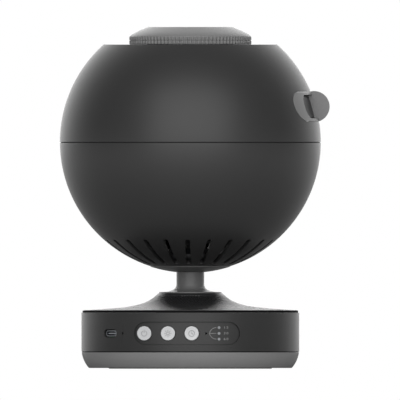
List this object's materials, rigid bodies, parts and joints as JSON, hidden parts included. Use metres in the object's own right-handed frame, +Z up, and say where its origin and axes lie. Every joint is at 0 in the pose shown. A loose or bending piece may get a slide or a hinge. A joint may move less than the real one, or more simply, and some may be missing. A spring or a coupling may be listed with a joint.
{
  "type": "planetarium projector",
  "caption": "Home planetarium projector: ball head with focus ring and star disc cartridge on a swivel neck, over a round base with speaker mesh and buttons.",
  "frame": {"origin": "middle of the base underside, on the swivel axis", "axes": "+Z up, -Y towards the button side (front), +X to the right, where the disc cartridge grip sticks out"},
  "size_m": [0.1551, 0.15, 0.1964],
  "materials": {
    "shell_plastic": "satin",
    "trim_plastic": "satin",
    "ring_plastic": "satin",
    "neck_plastic": "satin",
    "drum_plastic": "satin",
    "lower_ring_plastic": "satin",
    "panel_plastic": "gloss",
    "key_plastic": "satin",
    "inner_plastic": "matt",
    "gear_plastic": "matt",
    "disc_gear_plastic": "matt",
    "film_plastic": "gloss",
    "lens_glass": "polished",
    "light_pipe": "polished",
    "board": "solder mask",
    "lamp_board": "white solder mask",
    "lamp_phosphor": "silicone",
    "sink_metal": "brushed",
    "motor_metal": "plated",
    "screw_steel": "plated",
    "ballast_steel": "plain",
    "mesh_metal": "powder coated",
    "speaker_metal": "painted",
    "cone_paper": "pulp",
    "rubber": "matt",
    "cable_rubber": "matt",
    "bush_plastic": "matt",
    "washer_brass": "plain",
    "socket_steel": "plated"
  },
  "bodies": {
    "base": {"neck_collar": "neck_plastic", "bearing_bush": "bush_plastic", "swivel_washer": "washer_brass", "speaker_mesh": "mesh_metal", "speaker_frame": "speaker_metal", "speaker_cone": "cone_paper", "base_body": "drum_plastic", "lower_ring": "lower_ring_plastic", "base_plate": "inner_plastic", "ballast_plate": "ballast_steel", "rubber_foot": "rubber", "main_board": "board", "control_panel": "panel_plastic", "switch_board": "board", "tact_switches": "motor_metal", "indicator_pipes": "light_pipe", "microphone": "motor_metal", "usb_socket": "socket_steel", "usb_board": "board", "axis_cable": "cable_rubber", "base_screws": "screw_steel", "board_screws": "screw_steel"},
    "head": {"upper_shell": "shell_plastic", "lower_shell": "shell_plastic", "slot_bezel": "trim_plastic", "neck_flange": "neck_plastic", "neck_tube": "neck_plastic", "neck_nut": "screw_steel", "lamp_chassis": "inner_plastic", "cartridge_guide": "inner_plastic", "condenser_lens": "lens_glass", "led_board": "lamp_board", "led_emitter": "lamp_phosphor", "heat_sink": "sink_metal", "fan_frame": "inner_plastic", "disc_motor": "motor_metal", "driver_board": "board", "head_loom": "cable_rubber", "lens_guide": "inner_plastic", "chassis_screws": "screw_steel", "optics_screws": "screw_steel", "fan_screws": "screw_steel", "swivel_nut": "screw_steel"},
    "focus": {"focus_ring": "ring_plastic", "ring_clip": "screw_steel"},
    "lens": {"lens_barrel": "inner_plastic", "front_lens": "lens_glass", "rear_lens": "lens_glass", "lens_retainer": "inner_plastic"},
    "cartridge": {"cartridge_tray": "inner_plastic", "cartridge_fascia": "shell_plastic", "cartridge_grip": "trim_plastic", "disc_retainer": "inner_plastic"},
    "disc": {"star_disc": "film_plastic", "disc_gear": "disc_gear_plastic"},
    "pinion": {"disc_pinion": "gear_plastic"},
    "fan": {"fan_rotor": "inner_plastic"},
    "left_key": {"left_button": "key_plastic"},
    "middle_key": {"middle_button": "key_plastic"},
    "right_key": {"right_button": "key_plastic"}
  },
  "joints": [
    {"name": "head_swivel", "type": "hinge", "parent": "base", "child": "head", "pos_m": [0, 0, 0.0463], "axis": [0, 0, 1], "range_deg": [-170, 170]},
    {"name": "focus_turn", "type": "hinge", "parent": "head", "child": "focus", "pos_m": [0, 0, 0.19], "axis": [0, 0, 1], "range_deg": [-90, 90]},
    {"name": "lens_slide", "type": "slide", "parent": "head", "child": "lens", "axis": [0, 0, 1], "range_m": [-0.0025, 0.0025]},
    {"name": "cartridge_slide", "type": "slide", "parent": "head", "child": "cartridge", "axis": [1, 0, 0], "range_m": [0, 0.07]},
    {"name": "disc_spin", "type": "hinge", "parent": "cartridge", "child": "disc", "pos_m": [0, 0, 0.15065], "axis": [0, 0, 1], "continuous": true},
    {"name": "pinion_spin", "type": "hinge", "parent": "head", "child": "pinion", "pos_m": [-0.02765, 0, 0.15065], "axis": [0, 0, 1], "continuous": true},
    {"name": "fan_spin", "type": "hinge", "parent": "head", "child": "fan", "pos_m": [0, 0, 0.085], "axis": [0, 0, 1], "continuous": true},
    {"name": "left_press", "type": "slide", "parent": "base", "child": "left_key", "axis": [0, 1, 0], "range_m": [0, 0.0005], "stiffness_N_per_m": 900, "springref_m": -0.0006},
    {"name": "middle_press", "type": "slide", "parent": "base", "child": "middle_key", "axis": [0, 1, 0], "range_m": [0, 0.0005], "stiffness_N_per_m": 900, "springref_m": -0.0006},
    {"name": "right_press", "type": "slide", "parent": "base", "child": "right_key", "axis": [0, 1, 0], "range_m": [0, 0.0005], "stiffness_N_per_m": 900, "springref_m": -0.0006}
  ],
  "couplings": [
    {"joint": "lens_slide", "follows": "focus_turn", "m_per_rad": 0.00159},
    {"joint": "pinion_spin", "follows": "disc_spin", "ratio": -6.6667}
  ]
}
